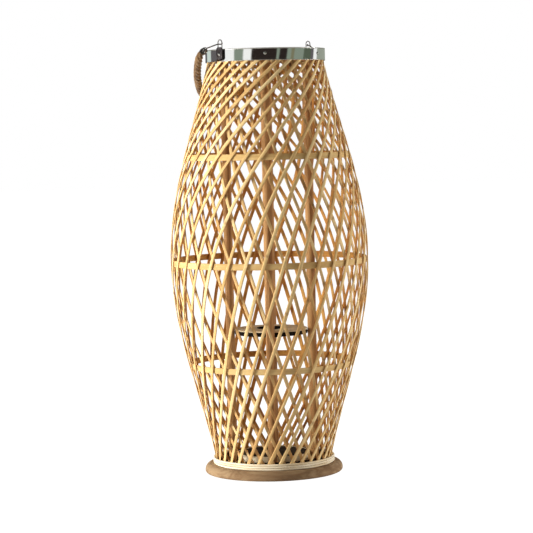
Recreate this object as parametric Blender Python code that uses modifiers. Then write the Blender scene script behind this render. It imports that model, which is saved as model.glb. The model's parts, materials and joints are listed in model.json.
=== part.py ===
"""A woven bamboo floor lantern for candles, as a model for Blender 4.5.

Metres, +Z up. The origin is the centre of the base's underside, and the front faces -Y.
An azimuth is measured round the lantern's axis from the front, positive towards +X.
"""

import math

import bmesh
import bpy
import numpy as np
from mathutils import Matrix, Vector

OBJECT_NAME = "bamboo_floor_lantern"

# Clearances.
GAP = 0.0003  # between pieces that touch on the real lantern
SCREW_CLEARANCE = 0.0003  # round a fastener in its hole

# The barrel: the outer surface of the outer laths.
BELLY_RADIUS = 0.150
BELLY_Z = 0.3254
SWELL = 0.0375  # half of the difference between the belly and the cosine's neck
LOWER_CURVE = 7.5  # radians of the cosine per metre, below the belly
UPPER_CURVE = 7.7
FOOT_Z = 0.025  # below this and above the neck the laths stand straight
NECK_Z = 0.6224

# The base.
BASE_RADIUS = 0.105
BASE_THICKNESS = 0.014
BASE_WIDEST_Z = 0.004
BASE_UPPER_REACH = 0.009  # how far the rounded edges come in from the widest radius
BASE_LOWER_REACH = 0.003

# The laths.
LATH_COUNT = 34  # in each of the two layers
LATH_WIDTH = 0.0054
LATH_THICKNESS = 0.0014
LAYER_STEP = 0.0049  # from the outer layer's outer face to the inner layer's outer face
WEAVE_BOTTOM = BASE_THICKNESS + 0.0007
WEAVE_TOP = 0.637
END_BAND = 0.0055  # height of the closed ring that joins the laths at each end
CROSSING_Z = 0.327  # where the laths of the two layers cross at the middle hoop
CROSSING_AZIMUTH = math.radians(-2.5)
LEAN_BELOW = 0.045  # lath lean times radius squared, in radian metres
LEAN_ABOVE = 0.062
LEAN_CHANGE_Z = (0.25, 0.45)
SWIRL = math.radians(28)  # extra turn of both layers at the top
SWIRL_START_Z = 0.33
SWIRL_HEIGHT = 0.29
FACET_DEPTH = 0.0014  # how far a lath's facet may cut inside the true curve

# The hoops between the two layers.
HOOPS = {"hoop_lower": 0.1655, "hoop_middle": 0.322, "hoop_upper": 0.481}
HOOP_HEIGHT = 0.0095
HOOP_THICKNESS = 0.0012
HOOP_INSET = 0.0031  # from the outer laths' outer face

# The reed binding and the clamp ring at the foot.
REED_NAMES = ("base_reed_lower", "base_reed_middle", "base_reed_upper")
REED_HEIGHT = 0.0030
REED_PITCH = 0.0033
REED_OUTER_RADIUS = 0.0932
REED_INNER_RADIUS = 0.0896
CLAMP_OUTER_RADIUS = 0.0800
CLAMP_INNER_RADIUS = 0.0745
CLAMP_HEIGHT = 0.010

# The posts: four round dowels.
POST_SIDES = ("front", "right", "back", "left")
POST_TURN = math.radians(-1.5)
POST_CENTRE_RADIUS = 0.0622
POST_RADIUS = 0.0067
POST_SEGMENTS = 20

# The top ring and the polished rim band.
RING_BOTTOM = 0.6225
RING_TOP = 0.6375
RING_OUTER_RADIUS = 0.0800
RING_INNER_RADIUS = 0.055
BAND_BOTTOM = 0.6224
BAND_TOP = 0.6407
BAND_OUTER_RADIUS = 0.0905
BAND_THICKNESS = 0.0010

# The rivets, the ear plates and the wire eyes.
PLAIN_RIVETS = {"rivet_front": 0, "rivet_front_right": 60, "rivet_back": 180, "rivet_back_left": 240}
EARS = {"left": -46.5, "right": 133.5}
RIVET_RADIUS = 0.0010
RIVET_HEAD_RADIUS = 0.0022
RIVET_HEAD_HEIGHT = 0.0009
RIVET_INNER_RADIUS = 0.0889  # distance of the shank's inner end from the lantern's axis
RIVET_HOLE_OUT = 0.005  # how far the hole's cutter reaches each way from the seat
RIVET_HOLE_IN = 0.008
EYE_WIRE = 0.0007
EYE_SEAT_RADIUS = BAND_OUTER_RADIUS + GAP + EYE_WIRE
EYE_HALF_WIDTH = 0.0043
EYE_TOP = 0.655
EYE_LEG_BOTTOM = 0.6285
PLATE_WIDTH = 0.013
PLATE_BOTTOM = 0.6255
PLATE_TOP = 0.6435
PLATE_THICKNESS = 0.0010
RIVET_Z = 0.6325

# The bail handle. Its plane holds u, along the hinge axis, and v, away from that axis.
HINGE_Z = 0.6478
HINGE_AZIMUTH = math.radians(EARS["left"])
HANDLE_DROP = math.radians(34)  # below horizontal, where the rope rests on the laths
HANDLE_REACH = 0.145
HANDLE_HALF_ROUTE = (  # (u, v) from the ferrule's outer end towards the middle of the rope
    (0.1100, 0.0120),
    (0.1114, 0.0255),
    (0.0990, 0.0500),
    (0.0730, 0.0872),
    (0.0360, 0.1260),
)
HANDLE_POINTS = 41  # the first and the last stretch between them are the ferrules
CORE_RADIUS = 0.0010
CORE_ELBOW = 0.0020  # straight core outside the ferrule
HOOK_BEND = 0.0012
HOOK_STRAIGHT = 0.0030  # of the hook, outside the eye
HOOK_TURN = (0.0055, 0.0008)
CURL_U = 0.0868
CURL_V = -0.0038
ROPE_RADIUS = 0.0060
ROPE_BORE = 0.0014
FERRULE_RADIUS = 0.0034
FERRULE_SHORT = 0.0018  # of the rope, whose end face slants to the ferrule
BORE_OVERRUN = 0.0020

# The candle plates: a black shelf with a pale top, and a pale floor dish with a black disc in it.
DISC_RADIUS = 0.0552
DISC_THICKNESS = 0.0019
SHELF_TOP = 0.2185
SHELF_BODY_THICKNESS = 0.0060
WELL_RADIUS = 0.0205
DISH_RIM_TOP = 0.0290
DISH_RIM_WIDTH = 0.0011
FLOOR_DISC_TOP = 0.0283

# The tealight cup.
CUP_RADIUS = 0.0202
CUP_WALL = 0.0007
CUP_LIP_RADIUS = 0.0216
CUP_LIP_THICKNESS = 0.0007
CUP_DEPTH = 0.0130

# Screws.
SCREW_RADIUS = 0.0014
SCREW_HEAD_RADIUS = 0.0030
SCREW_HEAD_HEIGHT = 0.0022
SCREW_HOLE_OUT = 0.002  # how far a hole's cutter stands out over the head
UPRIGHT_SCREW_LENGTH = 0.028
SHELF_SCREW_LENGTH = 0.022
SHELF_SCREW_SINK = 0.001  # of the head's top, below the front of the round post

SEGMENTS = 48
REED_SEGMENTS = 36
SMALL_SEGMENTS = 8

COLOURS = {
    "bamboo": ((225, 195, 135), 0.45, 0.0),
    "inner_bamboo": ((200, 160, 100), 0.50, 0.0),
    "post_wood": ((180, 135, 90), 0.60, 0.0),
    "base_wood": ((175, 140, 100), 0.65, 0.0),
    "reed": ((245, 235, 215), 0.45, 0.0),
    "polished_steel": ((215, 215, 212), 0.08, 1.0),
    "dark_steel": ((75, 70, 66), 0.35, 1.0),
    "screw_steel": ((180, 178, 172), 0.30, 1.0),
    "rope": ((135, 100, 65), 0.90, 0.0),
    "black": ((18, 17, 17), 0.50, 0.0),
    "pale_board": ((205, 192, 160), 0.60, 0.0),
}


def clear_scene():
    for obj in list(bpy.data.objects):
        bpy.data.objects.remove(obj, do_unlink=True)


def new_collection(name):
    collection = bpy.data.collections.new(name)
    bpy.context.scene.collection.children.link(collection)
    return collection


def srgb_to_linear(value):
    share = value / 255
    return share / 12.92 if share <= 0.04045 else ((share + 0.055) / 1.055) ** 2.4


def new_material(name, colour, roughness, metallic):
    material = bpy.data.materials.new(name)
    material.use_nodes = True
    shader = material.node_tree.nodes["Principled BSDF"]
    shader.inputs["Base Color"].default_value = (*map(srgb_to_linear, colour), 1)
    shader.inputs["Roughness"].default_value = roughness
    shader.inputs["Metallic"].default_value = metallic
    return material


def polar(radius, azimuth, z):
    return Vector((radius * math.sin(azimuth), -radius * math.cos(azimuth), z))


def facing_out(azimuth):
    """Rotation that takes local +X to the tangent and local -Y to the outward radius."""
    return Matrix.Rotation(azimuth, 4, "Z")


def add_object(name, data, material, collection=None):
    obj = bpy.data.objects.new(name, data)
    (collection or PARTS).objects.link(obj)
    if data is not None and material is not None and not data.materials:
        data.materials.append(MATERIALS[material])
    return obj


def mesh_of(name, bm):
    mesh = bpy.data.meshes.new(name)
    bm.to_mesh(mesh)
    bm.free()
    return mesh


def make_cutter(obj):
    obj.hide_render = True
    obj.display_type = "WIRE"
    return obj


def cut(obj, cutters):
    for cutter in cutters:
        boolean = obj.modifiers.new("Cut " + cutter.name, "BOOLEAN")
        boolean.operation = "DIFFERENCE"
        boolean.object = cutter


def turned(name, profile, material, closed=False, segments=SEGMENTS, collection=None):
    """A turned piece. The profile is (radius, z) points that run down the outer side."""
    bm = bmesh.new()
    points = [bm.verts.new((radius, 0, z)) for radius, z in profile]
    for start, end in zip(points, points[1:]):
        bm.edges.new((start, end))
    if closed:
        bm.edges.new((points[-1], points[0]))
    obj = add_object(name, mesh_of(name, bm), material, collection)
    screw = obj.modifiers.new("Turn", "SCREW")
    screw.steps = segments
    screw.render_steps = segments
    screw.use_merge_vertices = True
    screw.merge_threshold = 1e-6
    return obj


def turned_ring(name, inner, outer, bottom, top, material, segments=SEGMENTS):
    profile = [(outer, top), (outer, bottom), (inner, bottom), (inner, top)]
    return turned(name, profile, material, closed=True, segments=segments)


def box(name, size, material, bevel):
    bm = bmesh.new()
    bmesh.ops.create_cube(bm, size=1)
    bmesh.ops.scale(bm, vec=size, verts=bm.verts)
    obj = add_object(name, mesh_of(name, bm), material)
    rounding = obj.modifiers.new("Rounding", "BEVEL")
    rounding.width = bevel
    rounding.segments = 1
    return obj


def dowel(name, radius, length, material):
    bm = bmesh.new()
    bmesh.ops.create_cone(
        bm, cap_ends=True, segments=POST_SEGMENTS, radius1=radius, radius2=radius, depth=length
    )
    return add_object(name, mesh_of(name, bm), material)


def wire(name, points, radius, material, collection=None):
    """A round wire along a list of points, with flat ends."""
    curve = bpy.data.curves.new(name, "CURVE")
    curve.dimensions = "3D"
    curve.bevel_depth = radius
    curve.bevel_resolution = 2
    curve.use_fill_caps = True
    spline = curve.splines.new("POLY")
    spline.points.add(len(points) - 1)
    for spot, point in zip(spline.points, points):
        spot.co = (*point, 1)
    return add_object(name, curve, material, collection)


def wire_mesh(name, points, radius, material, collection=None):
    """The same as wire, but as a closed mesh that a Boolean can use."""
    guide = wire(name + "_guide", points, radius, None, collection)
    graph = bpy.context.evaluated_depsgraph_get()
    mesh = bpy.data.meshes.new_from_object(guide.evaluated_get(graph))
    bpy.data.objects.remove(guide, do_unlink=True)
    bm = bmesh.new()
    bm.from_mesh(mesh)
    bmesh.ops.remove_doubles(bm, verts=bm.verts, dist=1e-6)
    bm.to_mesh(mesh)
    bm.free()
    return add_object(name, mesh, material, collection)


# The barrel and the laths.


def barrel_radius(z):
    """Radius of the outer laths' outer face, for a number or an array of heights."""
    height = np.clip(z, FOOT_Z, NECK_Z) - BELLY_Z
    curve = np.where(height < 0, LOWER_CURVE, UPPER_CURVE)
    return BELLY_RADIUS - SWELL + SWELL * np.cos(curve * height)


def lean_rate(z):
    """Turn per metre of height that a lath owes to its lean, in radians."""
    low, high = LEAN_CHANGE_Z
    share = np.clip((z - low) / (high - low), 0, 1)
    share = share * share * (3 - 2 * share)
    return (LEAN_BELOW + (LEAN_ABOVE - LEAN_BELOW) * share) / barrel_radius(z) ** 2


def swirl(z):
    return SWIRL * np.clip((z - SWIRL_START_Z) / SWIRL_HEIGHT, 0, None) ** 3


def turn_of_layer(direction):
    """(heights, azimuth of a lath at each), where the lath crosses the hoop at 0."""
    heights = np.linspace(0, WEAVE_TOP, 1275)
    rates = lean_rate(heights)
    steps = (rates[1:] + rates[:-1]) / 2 * np.diff(heights)
    lean = np.concatenate([[0], np.cumsum(steps)])
    lean -= np.interp(CROSSING_Z, heights, lean)
    return heights, direction * lean + swirl(heights)


def row_heights(heights, turn):
    """Heights of a layer's rows of points, closer together where the laths curve more."""
    radius = barrel_radius(heights)
    turn_rate = np.gradient(turn, heights)
    bend = radius * turn_rate**2 + SWELL * UPPER_CURVE**2
    rows_per_metre = np.sqrt(bend / (8 * FACET_DEPTH))
    count = np.concatenate([[0], np.cumsum(rows_per_metre[1:] * np.diff(heights))])
    low = WEAVE_BOTTOM + END_BAND
    high = WEAVE_TOP - END_BAND
    first, last = np.interp([low, high], heights, count)
    inside = np.interp(np.linspace(first, last, math.ceil(last - first) + 1), count, heights)
    return np.concatenate([[WEAVE_BOTTOM], inside, [WEAVE_TOP]])


def lath_layer(name, direction, inset, material):
    """One layer of laths, joined by a closed ring at the foot and at the neck."""
    heights, turn = turn_of_layer(direction)
    rows = row_heights(heights, turn)
    turns = np.interp(rows, heights, turn)
    rates = np.interp(rows, heights, np.gradient(turn, heights))
    radii = barrel_radius(rows)
    half_widths = LATH_WIDTH / 2 * np.sqrt(1 + (radii * rates) ** 2) / radii

    columns = 2 * LATH_COUNT
    bm = bmesh.new()
    bmesh.ops.create_grid(bm, x_segments=columns, y_segments=len(rows) - 1, size=0.5)
    places = {
        vert: (round((vert.co.x + 0.5) * columns), round((vert.co.y + 0.5) * (len(rows) - 1)))
        for vert in bm.verts
    }
    between = [
        face
        for face in bm.faces
        if min(places[vert][0] for vert in face.verts) % 2
        and 0 < min(places[vert][1] for vert in face.verts) < len(rows) - 2
    ]
    bmesh.ops.delete(bm, geom=between, context="FACES")
    for vert in bm.verts:
        column, row = places[vert]
        lath, side = divmod(column, 2)
        azimuth = CROSSING_AZIMUTH + 2 * math.pi * lath / LATH_COUNT + turns[row]
        azimuth += (2 * side - 1) * half_widths[row]
        vert.co = polar(radii[row] - inset, azimuth, rows[row])
    bmesh.ops.remove_doubles(bm, verts=bm.verts, dist=1e-6)
    obj = add_object(name, mesh_of(name, bm), material)
    solidify = obj.modifiers.new("Lath thickness", "SOLIDIFY")
    solidify.thickness = LATH_THICKNESS
    solidify.offset = -1
    return obj


def make_weave():
    lath_layer("weave_outer", 1, 0, "bamboo")
    lath_layer("weave_inner", -1, LAYER_STEP, "inner_bamboo")


def make_hoops():
    for name, centre in HOOPS.items():
        top = centre + HOOP_HEIGHT / 2
        bottom = centre - HOOP_HEIGHT / 2
        outer_top = float(barrel_radius(top)) - HOOP_INSET
        outer_bottom = float(barrel_radius(bottom)) - HOOP_INSET
        profile = [
            (outer_top, top),
            (outer_bottom, bottom),
            (outer_bottom - HOOP_THICKNESS, bottom),
            (outer_top - HOOP_THICKNESS, top),
        ]
        turned(name, profile, "inner_bamboo", closed=True)


# The base.


def base_profile():
    """Top edge in a broad quarter of an ellipse, bottom edge in a small one."""
    profile = [(0, BASE_THICKNESS)]
    upper_drop = BASE_THICKNESS - BASE_WIDEST_Z
    for step in range(4):
        angle = math.pi / 2 * (1 - step / 3)
        radius = BASE_RADIUS - BASE_UPPER_REACH * (1 - math.cos(angle))
        profile.append((radius, BASE_WIDEST_Z + upper_drop * math.sin(angle)))
    for step in range(1, 3):
        angle = math.pi / 2 * step / 2
        radius = BASE_RADIUS - BASE_LOWER_REACH * (1 - math.cos(angle))
        profile.append((radius, BASE_WIDEST_Z * (1 - math.sin(angle))))
    profile.append((0, 0))
    return profile


def make_base(screw_holes):
    board = turned("base_board", base_profile(), "base_wood")
    cut(board, screw_holes)
    turned_ring(
        "base_clamp_ring",
        CLAMP_INNER_RADIUS,
        CLAMP_OUTER_RADIUS,
        BASE_THICKNESS + GAP,
        BASE_THICKNESS + CLAMP_HEIGHT,
        "black",
    )


def make_reeds():
    """Three reeds wound round the feet of the laths, one above the other."""
    middle = (REED_OUTER_RADIUS + REED_INNER_RADIUS) / 2
    half_width = (REED_OUTER_RADIUS - REED_INNER_RADIUS) / 2
    for level, name in enumerate(REED_NAMES):
        bottom = BASE_THICKNESS + GAP + level * REED_PITCH
        centre = bottom + REED_HEIGHT / 2
        profile = []
        for step in range(6):
            angle = math.pi / 3 * (1 - step)
            height = centre + REED_HEIGHT / 2 * math.sin(angle) / math.sin(math.pi / 3)
            profile.append((middle + half_width * math.cos(angle), height))
        turned(name, profile, "reed", closed=True, segments=REED_SEGMENTS)


# The posts, the top ring and their screws.


def screw_profile(length, clearance=0.0, sink=0.0):
    """A countersunk screw whose head's top is at z = 0 and whose point is down."""
    head = SCREW_HEAD_RADIUS + clearance
    shank = SCREW_RADIUS + clearance
    return [
        (0, sink),
        (head, sink),
        (head, -clearance / 2),
        (shank, -SCREW_HEAD_HEIGHT),
        (shank, -length - clearance),
        (0, -length - clearance),
    ]


def screw(name, length, matrix):
    """A screw and the cutter for its hole."""
    solid = turned(name, screw_profile(length), "screw_steel", segments=SMALL_SEGMENTS)
    hole_profile = screw_profile(length, SCREW_CLEARANCE, sink=SCREW_HOLE_OUT)
    hole = turned(name + "_hole", hole_profile, None, segments=SMALL_SEGMENTS, collection=CUTTERS)
    solid.matrix_world = matrix
    hole.matrix_world = matrix
    return make_cutter(hole)


def post_azimuths():
    """(side, azimuth) of each post."""
    return [(side, POST_TURN + math.pi / 2 * index) for index, side in enumerate(POST_SIDES)]


def post_screws(part, z, flip):
    """Upright screws through the base board or the top ring into each post."""
    holes = []
    for side, azimuth in post_azimuths():
        matrix = Matrix.Translation(polar(POST_CENTRE_RADIUS, azimuth, z))
        if flip:
            matrix = matrix @ Matrix.Rotation(math.pi, 4, "X")
        holes.append(screw(f"{part}_screw_{side}", UPRIGHT_SCREW_LENGTH, matrix))
    return holes


def shelf_screws():
    """Level screws through each post into the edge of the candle shelf."""
    z = SHELF_TOP - DISC_THICKNESS - GAP - SHELF_BODY_THICKNESS / 2
    head_radius = POST_CENTRE_RADIUS + POST_RADIUS - SHELF_SCREW_SINK
    point_out = Matrix.Rotation(math.pi / 2, 4, "X")
    holes = []
    for side, azimuth in post_azimuths():
        matrix = Matrix.Translation(polar(head_radius, azimuth, z)) @ facing_out(azimuth) @ point_out
        holes.append(screw(f"shelf_screw_{side}", SHELF_SCREW_LENGTH, matrix))
    return holes


def make_posts(base_holes, top_holes, shelf_holes):
    bottom = BASE_THICKNESS + GAP
    top = RING_BOTTOM - GAP
    for index, (side, azimuth) in enumerate(post_azimuths()):
        post = dowel(f"post_{side}", POST_RADIUS, top - bottom, "post_wood")
        post.location = polar(POST_CENTRE_RADIUS, azimuth, (bottom + top) / 2)
        cut(post, [base_holes[index], top_holes[index], shelf_holes[index]])


def make_top_ring(screw_holes):
    ring = turned_ring(
        "top_ring", RING_INNER_RADIUS, RING_OUTER_RADIUS, RING_BOTTOM, RING_TOP, "post_wood"
    )
    cut(ring, screw_holes)


# The rim band, its rivets and the ears.


def rivet(name, azimuth, seat_radius):
    """A domed rivet whose head sits at seat_radius, and the cutter for its hole."""
    shank_end = RIVET_INNER_RADIUS - seat_radius
    head = [
        (RIVET_HEAD_RADIUS * math.sin(angle), RIVET_HEAD_HEIGHT * math.cos(angle))
        for angle in (0, math.pi / 4, math.pi / 2)
    ]
    profile = head + [(RIVET_RADIUS, 0), (RIVET_RADIUS, shank_end), (0, shank_end)]
    solid = turned(name, profile, "polished_steel", segments=SMALL_SEGMENTS)
    hole_radius = RIVET_RADIUS + SCREW_CLEARANCE
    hole_profile = [
        (0, RIVET_HOLE_OUT),
        (hole_radius, RIVET_HOLE_OUT),
        (hole_radius, -RIVET_HOLE_IN),
        (0, -RIVET_HOLE_IN),
    ]
    hole = turned(name + "_hole", hole_profile, None, segments=SMALL_SEGMENTS, collection=CUTTERS)
    place = Matrix.Translation(polar(seat_radius, azimuth, RIVET_Z))
    matrix = place @ facing_out(azimuth) @ Matrix.Rotation(math.pi / 2, 4, "X")
    solid.matrix_world = matrix
    hole.matrix_world = matrix
    return make_cutter(hole)


def eye_points():
    """A wire staple in the plane of local X and Z, open downwards."""
    arch_z = EYE_TOP - EYE_WIRE - EYE_HALF_WIDTH
    arch = [
        (EYE_HALF_WIDTH * math.cos(angle), 0, arch_z + EYE_HALF_WIDTH * math.sin(angle))
        for angle in (math.pi * step / 6 for step in range(7))
    ]
    return [(EYE_HALF_WIDTH, 0, EYE_LEG_BOTTOM), *arch, (-EYE_HALF_WIDTH, 0, EYE_LEG_BOTTOM)]


def make_ear(side, azimuth):
    """A wire eye whose legs are held on the band by a riveted plate."""
    eye = wire(f"ear_eye_{side}", eye_points(), EYE_WIRE, "dark_steel")
    place = Matrix.Translation(polar(EYE_SEAT_RADIUS, azimuth, 0))
    eye.matrix_world = place @ facing_out(azimuth)

    plate_radius = EYE_SEAT_RADIUS + EYE_WIRE + GAP + PLATE_THICKNESS / 2
    size = Vector((PLATE_WIDTH, PLATE_THICKNESS, PLATE_TOP - PLATE_BOTTOM))
    plate = box(f"ear_plate_{side}", size, "polished_steel", PLATE_THICKNESS / 4)
    place = Matrix.Translation(polar(plate_radius, azimuth, (PLATE_TOP + PLATE_BOTTOM) / 2))
    plate.matrix_world = place @ facing_out(azimuth)

    seat = plate_radius + PLATE_THICKNESS / 2 + GAP
    hole = rivet(f"ear_rivet_{side}", azimuth, seat)
    cut(plate, [hole])
    return hole


def make_rim():
    band = turned_ring(
        "rim_band",
        BAND_OUTER_RADIUS - BAND_THICKNESS,
        BAND_OUTER_RADIUS,
        BAND_BOTTOM,
        BAND_TOP,
        "polished_steel",
    )
    seat = BAND_OUTER_RADIUS + GAP
    holes = [rivet(name, math.radians(angle), seat) for name, angle in PLAIN_RIVETS.items()]
    holes += [make_ear(side, math.radians(angle)) for side, angle in EARS.items()]
    cut(band, holes)


# The bail handle.


def smooth_curve(points, count):
    """Evenly spaced points along a Catmull-Rom curve through the given ones."""
    padded = np.vstack([2 * points[0] - points[1], points, 2 * points[-1] - points[-2]])
    share = np.linspace(0, 1, 24, endpoint=False)[:, None]
    stretches = []
    for before, start, end, after in zip(padded, padded[1:], padded[2:], padded[3:]):
        pull = 2 * before - 5 * start + 4 * end - after
        twist = 3 * start - before - 3 * end + after
        curve = 2 * start + (end - before) * share + pull * share**2 + twist * share**3
        stretches.append(curve / 2)
    fine = np.vstack([*stretches, points[-1:]])
    lengths = np.linalg.norm(np.diff(fine, axis=0), axis=1)
    travelled = np.concatenate([[0], np.cumsum(lengths)])
    places = np.linspace(0, travelled[-1], count)
    return np.stack([np.interp(places, travelled, axis) for axis in fine.T], axis=1)


def handle_route():
    """Points (u, v, 0) from the left ferrule's outer end round to the right one's."""
    half = np.array(HANDLE_HALF_ROUTE)
    middle = [(0, HANDLE_REACH)]
    other_half = half[::-1] * (-1, 1)
    route = smooth_curve(np.vstack([half, middle, other_half]), HANDLE_POINTS)
    return [Vector((u, v, 0)) for u, v in route]


def core_hook(route):
    """The core's end: a curl inside the eye, a short straight through it, and the bend to the rope."""
    elbow = route[0] - CORE_ELBOW * (route[1] - route[0]).normalized()
    return [
        Vector((CURL_U, CURL_V, 0)),
        Vector((CURL_U, -HOOK_BEND, 0)),
        Vector((CURL_U + HOOK_BEND, 0, 0)),
        Vector((EYE_SEAT_RADIUS + HOOK_STRAIGHT, 0, 0)),
        Vector((EYE_SEAT_RADIUS + HOOK_TURN[0], HOOK_TURN[1], 0)),
        elbow,
    ]


def make_ferrule(name, start, end):
    """A short wound collar on the core, just short of the rope's end."""
    along = (end - start).normalized()
    ferrule = wire_mesh(name, [start, end - FERRULE_SHORT * along], FERRULE_RADIUS, "dark_steel")
    bore_line = [start - BORE_OVERRUN * along, end + BORE_OVERRUN * along]
    bore = wire_mesh(name + "_bore", bore_line, ROPE_BORE, None, CUTTERS)
    cut(ferrule, [make_cutter(bore)])
    return [ferrule, bore]


def make_handle():
    """The bail, in the plane of an empty that stands on the hinge axis."""
    along_axis = polar(1, HINGE_AZIMUTH, 0)
    across = polar(math.cos(HANDLE_DROP), HINGE_AZIMUTH - math.pi / 2, -math.sin(HANDLE_DROP))
    frame = Matrix((along_axis, across, along_axis.cross(across))).transposed().to_4x4()
    hinge = add_object("handle_hinge", None, None)
    hinge.matrix_world = Matrix.Translation((0, 0, HINGE_Z)) @ frame

    route = handle_route()
    hook = core_hook(route)
    other_hook = [Vector((-point.x, point.y, 0)) for point in reversed(hook)]
    core = wire("handle_core", [*hook, *route, *other_hook], CORE_RADIUS, "dark_steel")
    rope = wire_mesh("handle_rope", route[1:-1], ROPE_RADIUS, "rope")
    bore = wire_mesh("handle_rope_bore", route, ROPE_BORE, None, CUTTERS)
    cut(rope, [make_cutter(bore)])
    pieces = [core, rope, bore]
    pieces += make_ferrule("ferrule_left", route[0], route[1])
    pieces += make_ferrule("ferrule_right", route[-1], route[-2])
    for piece in pieces:
        piece.parent = hinge


# The candle plates and the cup.


def make_shelf(screw_holes):
    disc_bottom = SHELF_TOP - DISC_THICKNESS
    turned_ring("shelf_top", WELL_RADIUS, DISC_RADIUS, disc_bottom, SHELF_TOP, "pale_board")
    body_top = disc_bottom - GAP
    body = turned_ring(
        "shelf_body", WELL_RADIUS, DISC_RADIUS, body_top - SHELF_BODY_THICKNESS, body_top, "black"
    )
    cut(body, screw_holes)


def make_floor_plate():
    """A shallow dish on the base board, with a disc let into it."""
    bottom = BASE_THICKNESS + GAP
    disc_bottom = FLOOR_DISC_TOP - DISC_THICKNESS
    recess_radius = DISC_RADIUS - DISH_RIM_WIDTH
    dish = [
        (0, disc_bottom - GAP),
        (recess_radius, disc_bottom - GAP),
        (recess_radius, DISH_RIM_TOP),
        (DISC_RADIUS, DISH_RIM_TOP),
        (DISC_RADIUS, bottom),
        (0, bottom),
    ]
    turned("floor_plate_body", dish, "pale_board")
    disc_radius = recess_radius - GAP
    disc = [(0, FLOOR_DISC_TOP), (disc_radius, FLOOR_DISC_TOP), (disc_radius, disc_bottom), (0, disc_bottom)]
    turned("floor_plate_top", disc, "black")


def make_cup():
    lip_top = GAP + CUP_LIP_THICKNESS
    inner = CUP_RADIUS - CUP_WALL
    profile = [
        (0, CUP_WALL - CUP_DEPTH),
        (inner, CUP_WALL - CUP_DEPTH),
        (inner, lip_top),
        (CUP_LIP_RADIUS, lip_top),
        (CUP_LIP_RADIUS, GAP),
        (CUP_RADIUS, GAP),
        (CUP_RADIUS, -CUP_DEPTH),
        (0, -CUP_DEPTH),
    ]
    cup = turned("tealight_cup", profile, "black", segments=32)
    cup.location = (0, 0, SHELF_TOP)


clear_scene()
PARTS = new_collection(OBJECT_NAME)
CUTTERS = new_collection("cutters")
MATERIALS = {name: new_material(name, *values) for name, values in COLOURS.items()}

base_holes = post_screws("base", GAP, flip=True)
top_holes = post_screws("top", RING_TOP - GAP, flip=False)
shelf_holes = shelf_screws()
make_base(base_holes)
make_reeds()
make_posts(base_holes, top_holes, shelf_holes)
make_top_ring(top_holes)
make_weave()
make_hoops()
make_rim()
make_handle()
make_shelf(shelf_holes)
make_floor_plate()
make_cup()
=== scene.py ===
"""The looks of a woven bamboo floor lantern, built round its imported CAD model.

Metres, +Z up. The front faces -Y, and an azimuth is measured from the front, positive towards +X.
"""

import json
import math

import bmesh
import bpy
import numpy as np
from mathutils import Matrix, Vector


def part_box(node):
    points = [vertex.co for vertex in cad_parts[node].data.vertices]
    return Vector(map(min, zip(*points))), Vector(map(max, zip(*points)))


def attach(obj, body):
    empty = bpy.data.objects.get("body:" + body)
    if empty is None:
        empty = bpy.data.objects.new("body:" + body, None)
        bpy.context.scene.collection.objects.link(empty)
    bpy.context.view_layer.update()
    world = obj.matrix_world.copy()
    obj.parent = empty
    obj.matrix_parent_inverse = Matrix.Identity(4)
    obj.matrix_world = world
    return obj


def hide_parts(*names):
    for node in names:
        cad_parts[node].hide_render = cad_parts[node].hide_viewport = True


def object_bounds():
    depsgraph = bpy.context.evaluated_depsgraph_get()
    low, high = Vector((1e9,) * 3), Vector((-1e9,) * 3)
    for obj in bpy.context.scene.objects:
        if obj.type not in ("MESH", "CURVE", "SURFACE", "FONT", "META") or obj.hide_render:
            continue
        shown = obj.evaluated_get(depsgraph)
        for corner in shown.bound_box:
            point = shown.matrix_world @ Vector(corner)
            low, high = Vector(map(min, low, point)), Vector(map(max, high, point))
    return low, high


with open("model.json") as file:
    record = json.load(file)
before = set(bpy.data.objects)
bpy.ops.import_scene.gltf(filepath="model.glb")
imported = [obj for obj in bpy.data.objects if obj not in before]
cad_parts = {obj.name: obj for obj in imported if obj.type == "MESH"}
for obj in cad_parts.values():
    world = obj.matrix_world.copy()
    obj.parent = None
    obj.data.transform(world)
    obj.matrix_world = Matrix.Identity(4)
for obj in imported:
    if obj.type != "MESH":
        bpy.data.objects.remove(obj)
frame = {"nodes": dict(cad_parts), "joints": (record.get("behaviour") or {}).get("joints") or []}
cad_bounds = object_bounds()

BODY, HANDLE, CUP = "lantern", "handle", "candle_cup"
POST_SIDES = ("front", "right", "back", "left")

# The barrel and the course of the laths, as in the CAD model.
BELLY_RADIUS = 0.150
BELLY_Z = 0.3254
SWELL = 0.0375
LOWER_CURVE = 7.5
UPPER_CURVE = 7.7
FOOT_Z = 0.025
NECK_Z = 0.6224
CROSSING_Z = 0.327
CROSSING_AZIMUTH = math.radians(-2.5)
LEAN_BELOW = 0.045
LEAN_ABOVE = 0.062
LEAN_CHANGE_Z = (0.25, 0.45)
SWIRL = math.radians(28)
SWIRL_START_Z = 0.33
SWIRL_HEIGHT = 0.29

LATH_COUNT = 34
LATHS_IN_A_PIECE = 9
LATH_WIDTH = 0.0054
LATH_THICKNESS = 0.0014
INNER_LAYER_INSET = 0.0042
HOOP_PLY = 0.0011
HOOP_LAP = 0.30  # radians by which a hoop's ends overlap
HOOP_LAP_AZIMUTH = {"hoop_lower": 205, "hoop_middle": -64, "hoop_upper": 120}  # degrees
HOOP_INSET_START = 0.0029
HOOP_INSET_END = 0.00175

# Details of a split lath's section and surface.
LATH_EDGE = 0.00028
LATH_EDGE_DROP = 0.0001
LATH_CROWN = 0.00016
KNOT_RISE = 0.00030
KNOT_SPREAD = 0.0022
KNOT_SPACING = 0.30
CUT_EDGE_FROM = 0.97  # of half the width
LATH_EASE = 0.08  # length in which an end's waver dies out

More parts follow.
